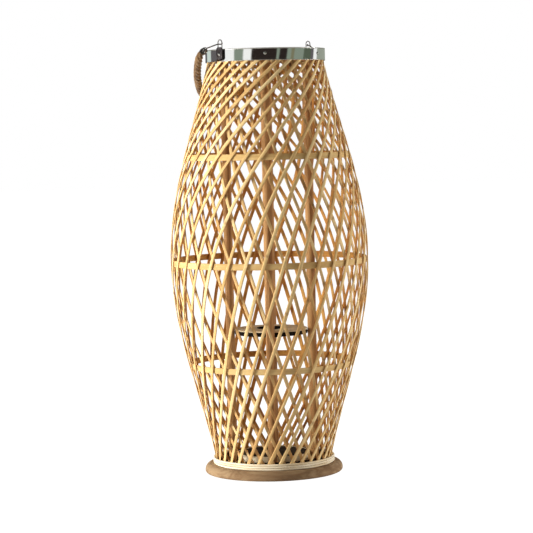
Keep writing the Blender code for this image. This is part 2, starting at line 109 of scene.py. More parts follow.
# The reeds, base, rings and shelf.
REED_JOINT_AZIMUTH = {"base_reed_lower": 150, "base_reed_middle": 215, "base_reed_upper": 95}  # degrees
REED_HALF_WIDTH = 0.0019
REED_GAP = 0.004  # radians, half of the joint
BASE_WIDEST = 0.004  # above its underside
BASE_SHOULDER = 0.009
BASE_UNDERCUT = 0.003
BASE_FLAT_RADIUS = 0.05
CLAMP_RING_INNER = 0.0745
TOP_RING_INNER = 0.055
WELL_RADIUS = 0.0205

RIVETS = ["rivet_front", "rivet_front_right", "rivet_back", "rivet_back_left"]
RIVETS += ["ear_rivet_left", "ear_rivet_right"]
RIVET_HEAD_RADIUS = 0.0022
RIVET_HEAD_HEIGHT = 0.0009
RIVET_SHANK_RADIUS = 0.0010
SCREW_HEAD_RADIUS = 0.0030
SCREW_SHANK_RADIUS = 0.0012

# The bail handle, in its own plane: u along the hinge axis and v away from it. The drop, reach and
# route are as in the CAD model; the wire is a little thinner here and its curl a little tighter.
HANDLE_DROP = math.radians(34)
HANDLE_REACH = 0.145
HANDLE_HALF_ROUTE = [(0.1100, 0.0120), (0.1114, 0.0255), (0.0990, 0.0500)]
HANDLE_HALF_ROUTE += [(0.0730, 0.0872), (0.0360, 0.1260)]
ROUTE_STEPS = 400
FERRULE_LENGTH = 0.0091  # along the route, before the rope starts
ROPE_RADIUS = 0.0060
CORE_RADIUS = 0.0009
CURL_U = 0.0889
CURL_V = -0.0029
HOOK_BEND = 0.0012
EYE_U = 0.0915
EYE_WIRE = 0.0007
EYE_HALF_WIDTH = 0.0043
EAR_PLATE_WIDTH = 0.013
EAR_PLATE_THICKNESS = 0.0010
EAR_PLATE_CORNER = 0.0036

# The rope's make: three strands, each laid of yarns.
STRANDS = 3
STRAND_OFFSET = 0.0026
STRAND_RADIUS = 0.0033
STRAND_SIDES = 28
STRAND_LAY = 0.030  # length of rope in which a strand turns once
YARNS = 7
YARN_LAY = 0.0065
YARN_GROOVE = 0.00042
ROPE_TAPER = 0.016  # length of each slimmer end
ROPE_END_SHARE = 0.72
FIBRE_COUNT = 260
FIBRE_RADIUS = 0.00007
FIBRE_ROOT_DEPTH = 0.0009

# The wire wound where the rope ends.
COIL_TURNS = 7
COIL_STEPS = 12  # how many of the route's steps it covers
COIL_WIRE_RADIUS = 0.00062
COIL_START_RADIUS = 0.0018
COIL_GROWTH = 0.0026
COIL_WAVER = 0.12
COIL_SHIFT = 0.0006

CAMERA_SPOT = (0, -3.08, 0.53)
CAMERA_PITCH = math.radians(4.04)
CAMERA_ROLL = math.radians(1.27)
CAMERA_YAW = math.radians(0.092)
CAMERA_LENS = 137.1  # millimetres, on a 36 mm sensor
FLOOR_HALF_WIDTH = 14
FLOOR_DROP = 0.0002

RANDOM = np.random.RandomState(7)


# Small tools for node trees.


def srgb(red, green, blue):
    """A linear colour from 8-bit display values."""
    shares = np.array([red, green, blue]) / 255
    linear = np.where(shares <= 0.04045, shares / 12.92, ((shares + 0.055) / 1.055) ** 2.4)
    return (*(float(value) for value in linear), 1.0)


def feed(tree, value, socket):
    """Links another node's output to the socket, or sets the socket to a plain value."""
    if isinstance(value, bpy.types.NodeSocket):
        tree.links.new(value, socket)
    else:
        socket.default_value = value


def new_material(name, roughness=0.5, metallic=0.0):
    material = bpy.data.materials.new(name)
    material.use_nodes = True
    shader = material.node_tree.nodes["Principled BSDF"]
    shader.inputs["Roughness"].default_value = roughness
    shader.inputs["Metallic"].default_value = metallic
    return material, material.node_tree, shader


def attribute(tree, name, output="Vector"):
    node = tree.nodes.new("ShaderNodeAttribute")
    node.attribute_name = name
    return node.outputs[output]


def place(tree):
    """Position of the surface in its piece's own frame, which moves with its body."""
    return tree.nodes.new("ShaderNodeTexCoord").outputs["Object"]


def noise(tree, vector, scale, detail=3.0, roughness=0.55, distortion=0.0):
    node = tree.nodes.new("ShaderNodeTexNoise")
    feed(tree, vector, node.inputs["Vector"])
    node.inputs["Scale"].default_value = scale
    node.inputs["Detail"].default_value = detail
    node.inputs["Roughness"].default_value = roughness
    node.inputs["Distortion"].default_value = distortion
    return node.outputs["Fac"]


def grain(tree, vector, scale, *detail):
    """Noise with its own scale along each axis."""
    node = tree.nodes.new("ShaderNodeMapping")
    feed(tree, vector, node.inputs["Vector"])
    node.inputs["Scale"].default_value = scale
    return noise(tree, node.outputs["Vector"], 1.0, *detail)


def calculate(tree, operation, first, second=0.5, third=0.5):
    node = tree.nodes.new("ShaderNodeMath")
    node.operation = operation
    for value, socket in zip((first, second, third), node.inputs):
        feed(tree, value, socket)
    return node.outputs["Value"]


def rescale(tree, value, low, high, new_low=0.0, new_high=1.0):
    node = tree.nodes.new("ShaderNodeMapRange")
    feed(tree, value, node.inputs["Value"])
    for index, limit in enumerate((low, high, new_low, new_high), 1):
        node.inputs[index].default_value = limit
    return node.outputs["Result"]


def ramp(tree, value, stops):
    """A colour for the value, from (position, colour) stops."""
    node = tree.nodes.new("ShaderNodeValToRGB")
    feed(tree, value, node.inputs["Fac"])
    elements = node.color_ramp.elements
    while len(elements) < len(stops):
        elements.new(0.5)
    for element, (position, colour) in zip(elements, stops):
        element.position = position
        element.color = colour
    return node.outputs["Color"]


def mix(tree, share, first, second, blend="MIX"):
    node = tree.nodes.new("ShaderNodeMix")
    node.data_type = "RGBA"
    node.blend_type = blend
    colours = [socket for socket in node.inputs if socket.type == "RGBA"]
    feed(tree, share, node.inputs["Factor"])
    feed(tree, first, colours[0])
    feed(tree, second, colours[1])
    return next(socket for socket in node.outputs if socket.type == "RGBA")


def coat(tree, shader, colour, roughness):
    tree.links.new(colour, shader.inputs["Base Color"])
    tree.links.new(roughness, shader.inputs["Roughness"])


def bump(tree, shader, height, distance, strength=1.0):
    node = tree.nodes.new("ShaderNodeBump")
    node.inputs["Distance"].default_value = distance
    node.inputs["Strength"].default_value = strength
    feed(tree, height, node.inputs["Height"])
    tree.links.new(node.outputs["Normal"], shader.inputs["Normal"])


# Materials.

# Painted shade: a brown tint multiplied into the pith side of the laths, darkening the laths seen from
# inside.
PITH_PAINTED_SHADE = srgb(232, 204, 162)


def marked(tree, colour, amber, knot):
    """The colour with darker knots, cut edges darkened partly for their own fibre colour and partly as
    painted shade, and painted shade on the pith side.
    """
    # Cut edges: their own fibre colour, deepened as painted shade.
    edge = attribute(tree, "cut_edge", "Fac")
    colour = mix(tree, calculate(tree, "MULTIPLY", edge, 0.65), colour, amber)
    knots = attribute(tree, "knot", "Fac")
    colour = mix(tree, calculate(tree, "MULTIPLY", knots, 0.6), colour, knot)
    # Painted shade: the pith side is multiplied by a brown tint.
    pith = attribute(tree, "pith", "Fac")
    return mix(tree, pith, colour, PITH_PAINTED_SHADE, "MULTIPLY")


def bamboo_material(name, pale, straw, amber, knot):
    """Split bamboo: fibres along the lath, broad changes of tone, darker knots, and cut edges darkened
    partly for their own fibre colour and partly as painted shade.

    The lath attribute holds the place across and along the lath in metres, and a number
    that differs from lath to lath.
    """
    material, tree, shader = new_material(name)
    course = attribute(tree, "lath")
    fibres = grain(tree, course, (2600, 30, 40), 3, 0.6)
    streaks = grain(tree, course, (700, 9, 23), 2, 0.5)
    patches = grain(tree, course, (60, 14, 31), 2, 0.5)
    tone = attribute(tree, "tone", "Fac")
    mixed = calculate(tree, "MULTIPLY_ADD", patches, 0.8, -0.4)
    mixed = calculate(tree, "ADD", mixed, tone)
    colour = ramp(tree, mixed, [(0.10, pale), (0.50, straw), (0.95, amber)])
    streak_share = rescale(tree, streaks, 0.50, 0.78, 0.0, 0.55)
    colour = mix(tree, streak_share, colour, amber)
    fibre_share = rescale(tree, fibres, 0.30, 0.75, 0.0, 0.30)
    colour = mix(tree, fibre_share, colour, amber, "MULTIPLY")
    colour = marked(tree, colour, amber, knot)
    coat(tree, shader, colour, rescale(tree, fibres, 0.3, 0.7, 0.34, 0.56))
    bump(tree, shader, calculate(tree, "ADD", fibres, streaks), 0.00012, 0.7)
    return material


def wood_material(name, light, dark, scale, pore_scale=1.0, roughness=(0.5, 0.7)):
    """Planed wood. scale is the pattern's, small along the fibres."""
    material, tree, shader = new_material(name)
    spot = place(tree)
    rings = grain(tree, spot, scale, 3, 0.55, 0.6)
    bands = calculate(tree, "SINE", calculate(tree, "MULTIPLY", rings, 26.0))
    bands = rescale(tree, bands, -1, 1)
    pores = grain(tree, spot, [12 * pore_scale * value for value in scale], 2)
    broad = noise(tree, spot, 9.0, 2)
    share = calculate(tree, "MULTIPLY_ADD", bands, 0.45, calculate(tree, "MULTIPLY", pores, 0.5))
    share = calculate(tree, "MULTIPLY_ADD", broad, 0.35, share)
    colour = ramp(tree, share, [(0.25, light), (0.95, dark)])
    coat(tree, shader, colour, rescale(tree, pores, 0.3, 0.7, *roughness))
    bump(tree, shader, calculate(tree, "MULTIPLY_ADD", bands, 0.4, pores), 0.00015, 0.6)
    return material


def reed_material():
    """Peeled reed: pale, with fine fibres along it and a few browner stains."""
    material, tree, shader = new_material("peeled_reed")
    course = attribute(tree, "lath")
    fibres = grain(tree, course, (1500, 22, 17), 3)
    stains = grain(tree, course, (90, 16, 29), 2)
    tones = [(0.30, srgb(252, 246, 230)), (0.62, srgb(240, 226, 196)), (0.85, srgb(214, 188, 146))]
    colour = ramp(tree, stains, tones)
    colour = mix(tree, rescale(tree, fibres, 0.35, 0.8, 0.0, 0.35), colour, srgb(205, 178, 136))
    coat(tree, shader, colour, rescale(tree, fibres, 0.3, 0.7, 0.28, 0.46))
    bump(tree, shader, fibres, 0.00012, 0.5)
    return material


def polished_material():
    """Mirror-polished sheet, very slightly uneven, with fine rubbing marks."""
    material, tree, shader = new_material("polished_steel", metallic=1.0)
    spot = place(tree)
    shader.inputs["Base Color"].default_value = srgb(232, 233, 230)
    rubbing = grain(tree, spot, (120, 120, 2400), 2)
    tree.links.new(rescale(tree, rubbing, 0.3, 0.8, 0.04, 0.11), shader.inputs["Roughness"])
    bump(tree, shader, grain(tree, spot, (45, 45, 12), 1), 0.0008, 0.30)
    return material


def wire_material(name, light, dark, roughness):
    """Plain steel with patches of tarnish. roughness is the range it moves in."""
    material, tree, shader = new_material(name, metallic=1.0)
    tarnish = noise(tree, place(tree), 260.0, 3)
    colour = ramp(tree, tarnish, [(0.35, light), (0.68, dark)])
    coat(tree, shader, colour, rescale(tree, tarnish, 0.3, 0.7, *roughness))
    return material


def rope_material():
    """Jute: fibres along each strand, pale on the yarns, with painted shade darkening the grooves between
    them.
    """
    material, tree, shader = new_material("jute_rope", roughness=0.92)
    course = attribute(tree, "lath")
    fibres = grain(tree, course, (2600, 220, 19), 4, 0.65)
    patches = noise(tree, place(tree), 70.0, 2)
    share = calculate(tree, "MULTIPLY_ADD", patches, 0.5, calculate(tree, "MULTIPLY", fibres, 0.6))
    tones = [(0.32, srgb(82, 58, 38)), (0.52, srgb(128, 98, 66)), (0.78, srgb(186, 154, 112))]
    colour = ramp(tree, share, tones)
    # Painted shade: the grooves between the yarns are darkened towards dark brown.
    groove = attribute(tree, "groove", "Fac")
    colour = mix(tree, calculate(tree, "MULTIPLY", groove, 0.75), colour, srgb(52, 32, 18))
    tree.links.new(colour, shader.inputs["Base Color"])
    shader.inputs["Sheen Weight"].default_value = 0.25
    shader.inputs["Sheen Roughness"].default_value = 0.5
    bump(tree, shader, fibres, 0.0004, 0.9)
    return material


def coated_material():
    """Black coating with a fine orange-peel surface and a little dust; on the base clamp ring the black is
    painted shade.
    """
    material, tree, shader = new_material("black_coating_and_painted_shade")
    spot = place(tree)
    peel = noise(tree, spot, 900.0, 2)
    dust = noise(tree, spot, 42.0, 4, 0.7)
    colour = ramp(tree, dust, [(0.45, srgb(10, 8, 7)), (0.80, srgb(27, 22, 19))])
    coat(tree, shader, colour, rescale(tree, dust, 0.4, 0.8, 0.50, 0.72))
    shader.inputs["Specular IOR Level"].default_value = 0.15
    bump(tree, shader, peel, 0.00006, 0.5)
    return material


BAMBOO_OUTER = bamboo_material(
    "bamboo_skin", srgb(250, 232, 182), srgb(234, 204, 144), srgb(198, 152, 92), srgb(146, 98, 54)
)
# Painted shade: the inner layer gets a darker copy of the bamboo colours, as it lies behind the outer
# layer and inside the lantern.
BAMBOO_INNER_SHADED = bamboo_material(
    "bamboo_inner_painted_shade", srgb(240, 214, 158), srgb(216, 176, 116), srgb(176, 124, 70), srgb(124, 80, 44)
)
BAMBOO_HOOP = bamboo_material(
    "bamboo_hoop", srgb(244, 222, 168), srgb(224, 190, 128), srgb(184, 138, 82), srgb(134, 90, 50)
)
POST_WOOD = wood_material("post_wood", srgb(208, 164, 112), srgb(140, 99, 60), (26, 26, 1.6))
RING_WOOD = wood_material("ring_wood", srgb(214, 174, 126), srgb(150, 106, 68), (3, 34, 34))
BASE_WOOD = wood_material(
    "base_wood", srgb(172, 146, 114), srgb(130, 102, 74), (2.2, 30, 60), 1.6, (0.58, 0.76)
)
PALE_BOARD = wood_material("pale_board", srgb(236, 228, 204), srgb(204, 190, 158), (4, 44, 44), 1.4)
REED = reed_material()
POLISHED = polished_material()
WIRE = wire_material("dark_wire", srgb(168, 156, 150), srgb(92, 84, 82), (0.22, 0.42))
EAR_STEEL = wire_material("ear_steel", srgb(138, 132, 134), srgb(98, 94, 97), (0.34, 0.48))
SCREW_STEEL = wire_material("screw_steel", srgb(198, 194, 186), srgb(128, 122, 112), (0.2, 0.4))
ROPE = rope_material()
BLACK = coated_material()


# Small tools for meshes.


def polar(radius, azimuth, z):
    return Vector((radius * math.sin(azimuth), -radius * math.cos(azimuth), z))


def polar_points(radius, azimuth, z):
    """The same for an array of azimuths, one row to a point."""
    heights = np.broadcast_to(z, azimuth.shape)
    return np.stack([radius * np.sin(azimuth), -radius * np.cos(azimuth), heights], axis=1)


def unit_rows(vectors):
    return vectors / np.linalg.norm(vectors, axis=1)[:, None]


def add_piece(name, mesh, material, body, nodes=(), sharp=40):
    """Puts a finished mesh in the scene, on its body, with its finish, and hides the CAD nodes it stands
    for.
    """
    mesh.shade_smooth()
    mesh.set_sharp_from_angle(angle=math.radians(sharp))
    mesh.materials.append(material)
    piece = bpy.data.objects.new(name, mesh)
    bpy.context.scene.collection.objects.link(piece)
    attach(piece, body)
    if nodes:
        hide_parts(*nodes)


def store(mesh, name, kind, values):
    """Stores a value for each point of the mesh, for its material to read."""
    layer = mesh.attributes.new(name, kind, "POINT")
    field = "vector" if kind == "FLOAT_VECTOR" else "value"
    layer.data.foreach_set(field, np.asarray(values, np.float32).ravel())


def store_course(mesh, across, along, seed):
    """Stores each point's place across and along a strip, and a number of the strip's own."""
    rings, sides = across.shape
    columns = [across, np.broadcast_to(along[:, None], (rings, sides)), np.full((rings, sides), seed)]
    store(mesh, "lath", "FLOAT_VECTOR", np.stack(columns, axis=2))


def ring_faces(rings, sides):
    """Quads between neighbouring rings of points, and a cap at both ends."""
    faces = []
    for here in range(0, (rings - 1) * sides, sides):
        there = here + sides
        for side in range(sides):
            after = (side + 1) % sides
            faces.append((here + side, here + after, there + after, there + side))
    faces.append(tuple(reversed(range(sides))))
    faces.append(tuple(range((rings - 1) * sides, rings * sides)))
    return faces


def sweep(name, path, across, out, section):
    """Mesh swept along a path, its section at each ring, and each ring's distance along the path.

    The section is (sides, 2) or (rings, sides, 2): across, then out.
    """
    path, across, out = (np.asarray(values, float) for values in (path, across, out))
    section = np.broadcast_to(section, (len(path), *np.shape(section)[-2:]))
    points = path[:, None] + section[..., :1] * across[:, None] + section[..., 1:] * out[:, None]
    mesh = bpy.data.meshes.new(name)
    faces = ring_faces(len(path), section.shape[1])
    mesh.from_pydata(points.reshape(-1, 3).tolist(), [], faces)
    facing = bmesh.new()
    facing.from_mesh(mesh)
    bmesh.ops.recalc_face_normals(facing, faces=facing.faces)
    facing.to_mesh(mesh)
    facing.free()
    steps = np.linalg.norm(np.diff(path, axis=0), axis=1)
    along = np.concatenate([[0], np.cumsum(steps)])
    return mesh, section, along


def round_section(radius, sides):
    angles = np.arange(sides) * 2 * math.pi / sides
    return radius * np.stack([np.cos(angles), np.sin(angles)], axis=1)


def frames_along(path, first_normal):
    """Two unit vectors across a path at each point, turning as little as possible."""
    tangents = unit_rows(np.gradient(np.asarray(path, float), axis=0))
    normal = np.asarray(first_normal, float)
    normals = []
    for tangent in tangents:
        normal = normal - normal @ tangent * tangent
        normal /= np.linalg.norm(normal)
        normals.append(normal)
    normals = np.array(normals)
    return np.cross(tangents, normals), normals


def finished(bm, name):
    """The bmesh as a new mesh."""
    mesh = bpy.data.meshes.new(name)
    bm.to_mesh(mesh)
    bm.free()
    return mesh


def join_meshes(name, meshes):
    bm = bmesh.new()
    for mesh in meshes:
        bm.from_mesh(mesh)
    return finished(bm, name)


def smooth_path(points, count, trim=0.0):
    """Evenly spaced points of a Catmull-Rom curve, less a length at both ends, and their places."""
    points = np.asarray(points, float)
    padded = np.vstack([2 * points[0] - points[1], points, 2 * points[-1] - points[-2]])
    share = np.linspace(0, 1, 24, endpoint=False)[:, None]
    stretches = []
    for before, start, end, after in zip(padded, padded[1:], padded[2:], padded[3:]):
        pull = 2 * before - 5 * start + 4 * end - after
        twist = 3 * start - before - 3 * end + after
        stretches.append((2 * start + (end - before) * share + pull * share**2 + twist * share**3) / 2)
    fine = np.vstack([*stretches, points[-1:]])
    length = np.concatenate([[0], np.cumsum(np.linalg.norm(np.diff(fine, axis=0), axis=1))])
    even = np.linspace(trim, length[-1] - trim, count)
    return np.stack([np.interp(even, length, axis) for axis in fine.T], axis=1), even - trim


def fillet(profile, radius, steps=4):
    """An outline with its corners rounded, apart from its ends."""
    points = [Vector(point) for point in profile]
    rounded = [points[0]]
    for index in range(1, len(points) - 1):
        before, corner, after = points[index - 1 : index + 2]
        reach = min(radius, (before - corner).length * 0.45, (after - corner).length * 0.45)
        start = corner + (before - corner).normalized() * reach
        end = corner + (after - corner).normalized() * reach
        for step in range(steps + 1):
            share = step / steps
            low = start.lerp(corner, share)
            rounded.append(low.lerp(corner.lerp(end, share), share))
    return [*rounded, points[-1]]


def turned_mesh(name, profile, segments=144, closed=False):
    """Revolves (radius, z) points round the Z axis."""
    bm = bmesh.new()
    verts = [bm.verts.new((point[0], 0, point[1])) for point in profile]
    pairs = list(zip(verts, verts[1:]))
    if closed:
        pairs.append((verts[-1], verts[0]))
    edges = [bm.edges.new(pair) for pair in pairs]
    around = {"cent": (0, 0, 0), "axis": (0, 0, 1), "angle": 2 * math.pi, "steps": segments}
    bmesh.ops.spin(bm, geom=verts + edges, **around)
    bmesh.ops.remove_doubles(bm, verts=bm.verts, dist=1e-6)
    bmesh.ops.recalc_face_normals(bm, faces=bm.faces)
    return finished(bm, name)


def ring_outline(inner, outer, bottom, top, radius):
    """Closed outline of a ring with rounded edges, from the middle of its top."""
    middle = ((inner + outer) / 2, top)
    corners = [middle, (outer, top), (outer, bottom), (inner, bottom), (inner, top), middle]
    return fillet(corners, radius)[:-1]


def node_ring(name):
    """Outer radius, bottom and top of a round CAD node."""
    low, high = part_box(name)
    return (high.x - low.x) / 2, low.z, high.z


# The laths.


def barrel_radius(z):
    """Radius of the barrel that the laths lie on, which is straight past the foot and the neck."""
    height = np.clip(z, FOOT_Z, NECK_Z) - BELLY_Z
    curve = np.where(height < 0, LOWER_CURVE, UPPER_CURVE)
    return BELLY_RADIUS - SWELL + SWELL * np.cos(curve * height)


def lean_rate(z):
    """How fast a lath's azimuth changes with height."""
    low, high = LEAN_CHANGE_Z
    share = np.clip((z - low) / (high - low), 0, 1)
    share = share * share * (3 - 2 * share)
    return (LEAN_BELOW + (LEAN_ABOVE - LEAN_BELOW) * share) / barrel_radius(z) ** 2


def turn_of_layer(direction, top):
    """A layer's change of azimuth with height, from where its laths cross those of the other layer."""
    heights = np.linspace(0, top, 1275)
    rates = lean_rate(heights)
    lean = np.concatenate([[0], np.cumsum((rates[1:] + rates[:-1]) / 2 * np.diff(heights))])
    lean -= np.interp(CROSSING_Z, heights, lean)
    swirl = SWIRL * np.clip((heights - SWIRL_START_Z) / SWIRL_HEIGHT, 0, None) ** 3
    return heights, direction * lean + swirl


def barrel_normals(azimuth, z):
    """Unit outward normals of the barrel, and points on it."""
    radius = barrel_radius(z)
    normals = polar_points(1, azimuth, -np.gradient(radius, z))
    return unit_rows(normals), polar_points(radius, azimuth, z)


def lath_section(width, thickness, swell):
    """Section of a split lath: flat pith side, slightly domed skin side, broken edges."""
    half = width / 2
    right_side = [
        (half * 0.4, LATH_CROWN),
        (half - LATH_EDGE, 0.0),
        (half, -LATH_EDGE - LATH_EDGE_DROP),
        (half, -thickness + LATH_EDGE),
        (half - LATH_EDGE, -thickness),
    ]
    left_side = [(-across, out) for across, out in reversed(right_side)]
    outline = [*left_side[2:], *right_side, *left_side[:2]]
    outline = np.array(outline)[None] * (1 + 0.05 * swell[:, None, None])
    outline[:, 1:5, 1] += KNOT_RISE * swell[:, None]
    return outline


def knot_shape(places, knots, spread):
    """0 to 1 ridge at each knot of the cane."""
    ridge = np.zeros_like(places)
    for knot in knots:
        ridge = np.maximum(ridge, np.exp(-(((places - knot) / spread) ** 2)))
    return ridge


def lath_attributes(mesh, section, along, tone, seed, ridge):
    """Stores what the bamboo and reed materials read from a strip."""
    across = section[..., 0]
    store_course(mesh, across, along, seed)
    store(mesh, "tone", "FLOAT", np.full(across.size, tone))
    store(mesh, "knot", "FLOAT", np.broadcast_to(ridge[:, None], across.shape))
    widest = np.abs(across).max(axis=1, keepdims=True)
    # Marks the cut edges, which the bamboo materials darken partly for their colour and partly as painted
    # shade.
    store(mesh, "cut_edge", "FLOAT", (np.abs(across) > CUT_EDGE_FROM * widest).astype(float))
    # Marks the pith side, which the bamboo materials darken as painted shade.
    store(mesh, "pith", "FLOAT", (section[..., 1] < -0.5 * LATH_THICKNESS).astype(float))


def lath_mesh(direction, inset, lath, low, high):
    """One lath of a layer, from the foot to the neck, with its own width, tone, knots and waver."""
    heights, turn = turn_of_layer(direction, high)
    knots = RANDOM.uniform(0.02, 0.30) + KNOT_SPACING * np.arange(3) + RANDOM.uniform(-0.03, 0.03, 3)
    rows = [np.linspace(low, high, 72)] + [knot + np.linspace(-0.005, 0.005, 9) for knot in knots]
    z = np.unique(np.clip(np.concatenate(rows), low, high))
    waves = z * RANDOM.uniform(9, 22) + RANDOM.uniform(0, 2 * math.pi)
    wander = RANDOM.uniform(0.0002, 0.0011) * np.sin(waves)
    wander *= np.clip((z - low) / LATH_EASE, 0, 1) * np.clip((high - z) / LATH_EASE, 0, 1)
    azimuth = CROSSING_AZIMUTH + 2 * math.pi * lath / LATH_COUNT + np.interp(z, heights, turn)
    azimuth += wander / barrel_radius(z) + RANDOM.normal(0, math.radians(0.22))
    out, points = barrel_normals(azimuth, z)
    points = points - inset * out * [1, 1, 0]
    across = unit_rows(np.cross(np.gradient(points, axis=0), out))
    ridge = knot_shape(z, knots, KNOT_SPREAD)
    width = LATH_WIDTH * RANDOM.uniform(0.80, 1.08)
    section = lath_section(width, LATH_THICKNESS, ridge)
    mesh, section, along = sweep("lath", points, across, out, section)
    tone = float(np.clip(RANDOM.normal(0.42, 0.17), 0.05, 0.9))
    lath_attributes(mesh, section, along, tone, RANDOM.uniform(0, 9), ridge)
    return mesh


def make_laths(layer, direction, inset, material):
    """A layer's laths, in a few pieces of neighbouring laths."""
    node = f"weave_{layer}"
    low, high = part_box(node)
    laths = [lath_mesh(direction, inset, lath, low.z, high.z) for lath in range(LATH_COUNT)]
    for number, first in enumerate(range(0, LATH_COUNT, LATHS_IN_A_PIECE), 1):
        mesh = join_meshes("laths", laths[first : first + LATHS_IN_A_PIECE])
        add_piece(f"laths_{layer}_{number}", mesh, material, BODY, [node], sharp=50)


def make_hoop(node):
    """A flat bamboo strip bent round between the layers, its ends lapped over each other."""
    low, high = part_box(node)
    centre = (low.z + high.z) / 2
    share = np.linspace(0, 1, 220)
    azimuth = math.radians(HOOP_LAP_AZIMUTH[node]) + share * (2 * math.pi + HOOP_LAP)
    near = np.array([centre - 0.001, centre, centre + 0.001])
    slope = float(np.gradient(barrel_radius(near), near)[1])
    out = unit_rows(polar_points(1, azimuth, -slope))
    inset = HOOP_INSET_START + (HOOP_INSET_END - HOOP_INSET_START) * share
    points = polar_points(float(barrel_radius(centre)) - inset, azimuth, centre)
    along_hoop = np.stack([np.cos(azimuth), np.sin(azimuth), np.zeros_like(azimuth)], axis=1)
    across = np.cross(along_hoop, out)
    ridge = knot_shape(share, RANDOM.uniform(0.05, 0.95, 3), 0.004)
    section = lath_section(high.z - low.z, HOOP_PLY, ridge * 0.4)
    mesh, section, along = sweep(node, points, across, out, section)
    lath_attributes(mesh, section, along, 0.45, RANDOM.uniform(0, 9), ridge)
    add_piece(f"{node}_strip", mesh, BAMBOO_HOOP, BODY, [node], sharp=50)


def make_reed(node, joint_azimuth):
    """One peeled reed round the foot, butted end to end."""
    low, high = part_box(node)
    outer = (high.x - low.x) / 2
    lift = 0.00008
    azimuth = math.radians(joint_azimuth) + np.linspace(REED_GAP, 2 * math.pi - REED_GAP, 200)
    waver = 0.00022 * np.sin(azimuth * 5 + joint_azimuth) + 0.00015 * np.sin(azimuth * 13)
    radius = outer - REED_HALF_WIDTH - 0.0004 + waver
    z = (low.z + high.z) / 2 + lift * np.sin(azimuth * 7 + joint_azimuth)
    points = polar_points(radius, azimuth, z)
    out = polar_points(1, azimuth, 0.0)
    across = np.tile([0.0, 0.0, 1.0], (len(points), 1))
    section = round_section(1.0, 14) * [(high.z - low.z) / 2 + lift, REED_HALF_WIDTH]
    mesh, section, along = sweep(node, points, across, out, section)
    lath_attributes(mesh, section, along, 0.3, RANDOM.uniform(0, 9), np.zeros(len(points)))
    add_piece(f"{node}_ring", mesh, REED, BODY, [node])


# Base, rings, posts and plates.


def make_base():
    """The turned board, with a large round above its widest line and a small one below."""
    radius, bottom, top = node_ring("base_board")
    widest = bottom + BASE_WIDEST
    profile = [(0, top), (BASE_FLAT_RADIUS, top)]
    for angle in np.linspace(math.pi / 2, 0, 14):
        inset = BASE_SHOULDER * (1 - math.cos(angle))
        profile.append((radius - inset, widest + (top - widest) * math.sin(angle)))
    for angle in np.linspace(0, math.pi / 2, 7)[1:]:
        inset = BASE_UNDERCUT * (1 - math.cos(angle))
        profile.append((radius - inset, widest - (widest - bottom) * math.sin(angle)))
    profile += [(BASE_FLAT_RADIUS, bottom), (0, bottom)]
    mesh = turned_mesh("base_board", profile, 160)
    add_piece("base_board_turned", mesh, BASE_WOOD, BODY, ["base_board"])


def make_ring(node, piece, inner, material, edge):
    """A ring with its edges rounded by the radius edge."""
    outer, bottom, top = node_ring(node)
    mesh = turned_mesh(node, ring_outline(inner, outer, bottom, top, edge), closed=True)
    add_piece(piece, mesh, material, BODY, [node])


def make_shelf():
    """A pale board with a well in its middle and a groove near its edge, on a black body."""
    outer, bottom, top = node_ring("shelf_top")
    chamfer = 0.0006
    groove_depth = 0.0005
    outline = [(WELL_RADIUS, top - 0.0002), (WELL_RADIUS + 0.0018, top)]
    for inset, drop in ((0.0075, 0), (0.0068, groove_depth), (0.0058, groove_depth), (0.0050, 0)):
        outline.append((outer - inset, top - drop))
    outline += [(outer - chamfer, top), (outer, top - chamfer), (outer, bottom), (WELL_RADIUS, bottom)]
    mesh = turned_mesh("shelf_top", outline, closed=True)
    add_piece("shelf_top_disc", mesh, PALE_BOARD, BODY, ["shelf_top"], sharp=25)
    make_ring("shelf_body", "shelf_black_body", WELL_RADIUS, BLACK, 0.0008)


def make_floor_plate():
    """A pale dish on the floor of the lantern, with a black disc in it."""
    outer, bottom, top = node_ring("floor_plate_top")
    disc = fillet([(0, top), (outer, top), (outer, bottom), (0, bottom)], 0.0006)
    mesh = turned_mesh("floor_plate_top", disc)
    add_piece("floor_plate_black_disc", mesh, BLACK, BODY, ["floor_plate_top"])
    gap = 0.0003
    recess = bottom - gap
    inner = outer + gap
    outer, bottom, top = node_ring("floor_plate_body")
    dish = [(0, recess), (inner, recess), (inner, top), (outer, top), (outer, bottom), (0, bottom)]
    mesh = turned_mesh("floor_plate_body", fillet(dish, 0.0005))
    add_piece("floor_plate_dish", mesh, PALE_BOARD, BODY, ["floor_plate_body"])


def make_cup():
    """A pressed cup with a rolled lip that hangs in the shelf's well."""
    lip, bottom, top = node_ring("tealight_cup")
    wall = 0.0007
    outer = lip - 0.0014
    inner = outer - wall
    floor = bottom + wall
    mouth = (inner, top - 0.0001)
    under_lip = (outer, top - wall)
    inside = fillet([(0, floor), (inner, floor), mouth], 0.0025, 6)
    rolled = fillet([mouth, (lip, top), (lip, top - wall), under_lip], 0.0004)
    outside = fillet([under_lip, (outer, bottom), (0, bottom)], 0.0030, 6)
    profile = inside[:-1] + rolled + outside[1:]
    mesh = turned_mesh("tealight_cup", profile, 96)
    add_piece("tealight_cup_pressed", mesh, BLACK, CUP, ["tealight_cup"])


def make_posts():
    """Turned dowels with softened ends."""
    for side in POST_SIDES:
        node = f"post_{side}"
        low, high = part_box(node)
        centre = (low + high) / 2
        radius = (high.x - low.x) / 2
        outline = fillet([(0, high.z), (radius, high.z), (radius, low.z), (0, low.z)], 0.0010)
        mesh = turned_mesh(node, outline, 48)
        mesh.transform(Matrix.Translation((centre.x, centre.y, 0)))
        add_piece(f"{node}_dowel", mesh, POST_WOOD, BODY, [node])


